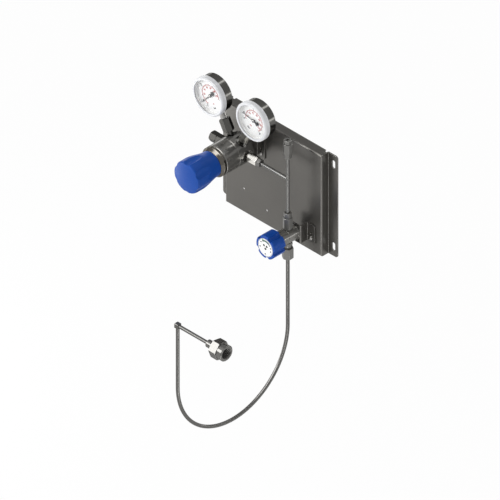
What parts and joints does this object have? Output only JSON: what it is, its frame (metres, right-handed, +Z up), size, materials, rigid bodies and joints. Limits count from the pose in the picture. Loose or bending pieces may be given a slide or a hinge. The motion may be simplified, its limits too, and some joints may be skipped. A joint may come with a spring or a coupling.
{
  "type": "gas regulator panel",
  "caption": "Wall-mounted bent plate carrying a pressure regulator with round gauges, a knob-operated shut-off valve, steel tubing and a rigid U-shaped pigtail with a cylinder nut.",
  "frame": {"origin": "on the wall plane, midway between the four wall slots of the back plate", "axes": "+X to the viewer's right, +Y into the wall, so the front faces -Y, +Z up"},
  "size_m": [0.3147, 0.3191, 0.5379],
  "materials": {
    "panel_steel": "brushed stainless sheet",
    "body_steel": "turned and glass-beaded stainless",
    "fitting_steel": "machined bright stainless",
    "tube_steel": "drawn stainless tube",
    "screw_steel": "zinc plated",
    "ring_metal": "polished, slightly warm",
    "case_steel": "dark satin",
    "brass": "machined",
    "spring_steel": "drawn wire",
    "blue_plastic": "moulded, satin gloss",
    "white_bezel": "lacquered",
    "dial_white": "printed dial",
    "disc_white": "printed label disc",
    "pointer_black": "black lacquer",
    "window_glass": "clear",
    "seal_rubber": "moulded"
  },
  "bodies": {
    "panel": {"back_plate": "panel_steel", "regulator_bracket": "panel_steel", "valve_bracket": "panel_steel", "bracket_screws": "screw_steel", "bracket_nuts": "screw_steel", "body_screws": "screw_steel", "regulator_body": "body_steel", "regulator_bonnet": "body_steel", "bonnet_ring": "ring_metal", "seat_nozzle": "brass", "poppet_spring": "spring_steel", "diaphragm": "fitting_steel", "diaphragm_plate": "fitting_steel", "range_spring": "spring_steel", "left_gauge_adapter": "body_steel", "left_gauge_socket": "fitting_steel", "left_gauge_case": "case_steel", "left_gauge_bezel": "white_bezel", "left_gauge_window": "window_glass", "left_gauge_dial": "dial_white", "left_gauge_bourdon": "brass", "right_gauge_adapter": "body_steel", "right_gauge_socket": "fitting_steel", "right_gauge_case": "case_steel", "right_gauge_bezel": "white_bezel", "right_gauge_window": "window_glass", "right_gauge_dial": "dial_white", "right_gauge_bourdon": "brass", "outlet_connector": "body_steel", "outlet_nut": "body_steel", "inlet_connector": "fitting_steel", "tube_nuts": "fitting_steel", "tube_ferrules": "fitting_steel", "tube_manifold": "tube_steel", "purge_union": "fitting_steel", "purge_nut": "fitting_steel", "valve_body": "body_steel", "valve_bonnet": "ring_metal", "valve_diaphragm": "fitting_steel", "valve_top_connector": "fitting_steel", "valve_bottom_connector": "fitting_steel", "pigtail_nut": "fitting_steel", "pigtail_tube": "tube_steel", "pigtail_elbow": "fitting_steel", "nipple_stem": "tube_steel", "cylinder_nipple": "body_steel", "seal_ring": "seal_rubber"},
    "regulator_knob": {"adjusting_spindle": "fitting_steel", "regulator_knob": "blue_plastic"},
    "spring_button": {"spring_button": "fitting_steel"},
    "main_poppet": {"main_poppet": "fitting_steel"},
    "left_pointer": {"left_gauge_pointer": "pointer_black"},
    "right_pointer": {"right_gauge_pointer": "pointer_black"},
    "valve_knob": {"valve_spindle": "fitting_steel", "valve_knob": "blue_plastic", "knob_disc": "disc_white"},
    "valve_stem": {"valve_stem": "brass"},
    "cylinder_nut": {"cylinder_nut": "fitting_steel"}
  },
  "joints": [
    {"name": "regulator_knob_turn", "type": "hinge", "parent": "panel", "child": "regulator_knob", "pos_m": [-0.0528, -0.12, 0.0483], "axis": [0, 1, 0], "range_deg": [0, 1080]},
    {"name": "spring_button_slide", "type": "slide", "parent": "panel", "child": "spring_button", "axis": [0, 1, 0], "range_m": [0, 0.0045], "deforming": ["range_spring"]},
    {"name": "main_poppet_lift", "type": "slide", "parent": "panel", "child": "main_poppet", "axis": [0, 1, 0], "range_m": [0, 0.0005], "stiffness_N_per_m": 400, "springref_m": -0.001, "deforming": ["poppet_spring"]},
    {"name": "left_pointer_turn", "type": "hinge", "parent": "panel", "child": "left_pointer", "pos_m": [-0.1026, -0.06, 0.13456], "axis": [0, 1, 0], "range_deg": [-25, 225], "stiffness_Nm_per_rad": 0.001},
    {"name": "right_pointer_turn", "type": "hinge", "parent": "panel", "child": "right_pointer", "pos_m": [-0.003, -0.06, 0.13456], "axis": [0, 1, 0], "range_deg": [-25, 225], "stiffness_Nm_per_rad": 0.001},
    {"name": "valve_knob_turn", "type": "hinge", "parent": "panel", "child": "valve_knob", "pos_m": [0.065, -0.09, -0.0624], "axis": [0, -1, 0], "range_deg": [0, 450]},
    {"name": "valve_stem_slide", "type": "slide", "parent": "panel", "child": "valve_stem", "axis": [0, -1, 0], "range_m": [0, 0.00125]},
    {"name": "cylinder_nut_turn", "type": "hinge", "parent": "panel", "child": "cylinder_nut", "pos_m": [0.1529, -0.302, -0.1164], "axis": [1, 0, 0], "continuous": true}
  ],
  "couplings": [
    {"joint": "spring_button_slide", "follows": "regulator_knob_turn", "m_per_rad": 0.00023873},
    {"joint": "valve_stem_slide", "follows": "valve_knob_turn", "m_per_rad": 0.00015915}
  ]
}
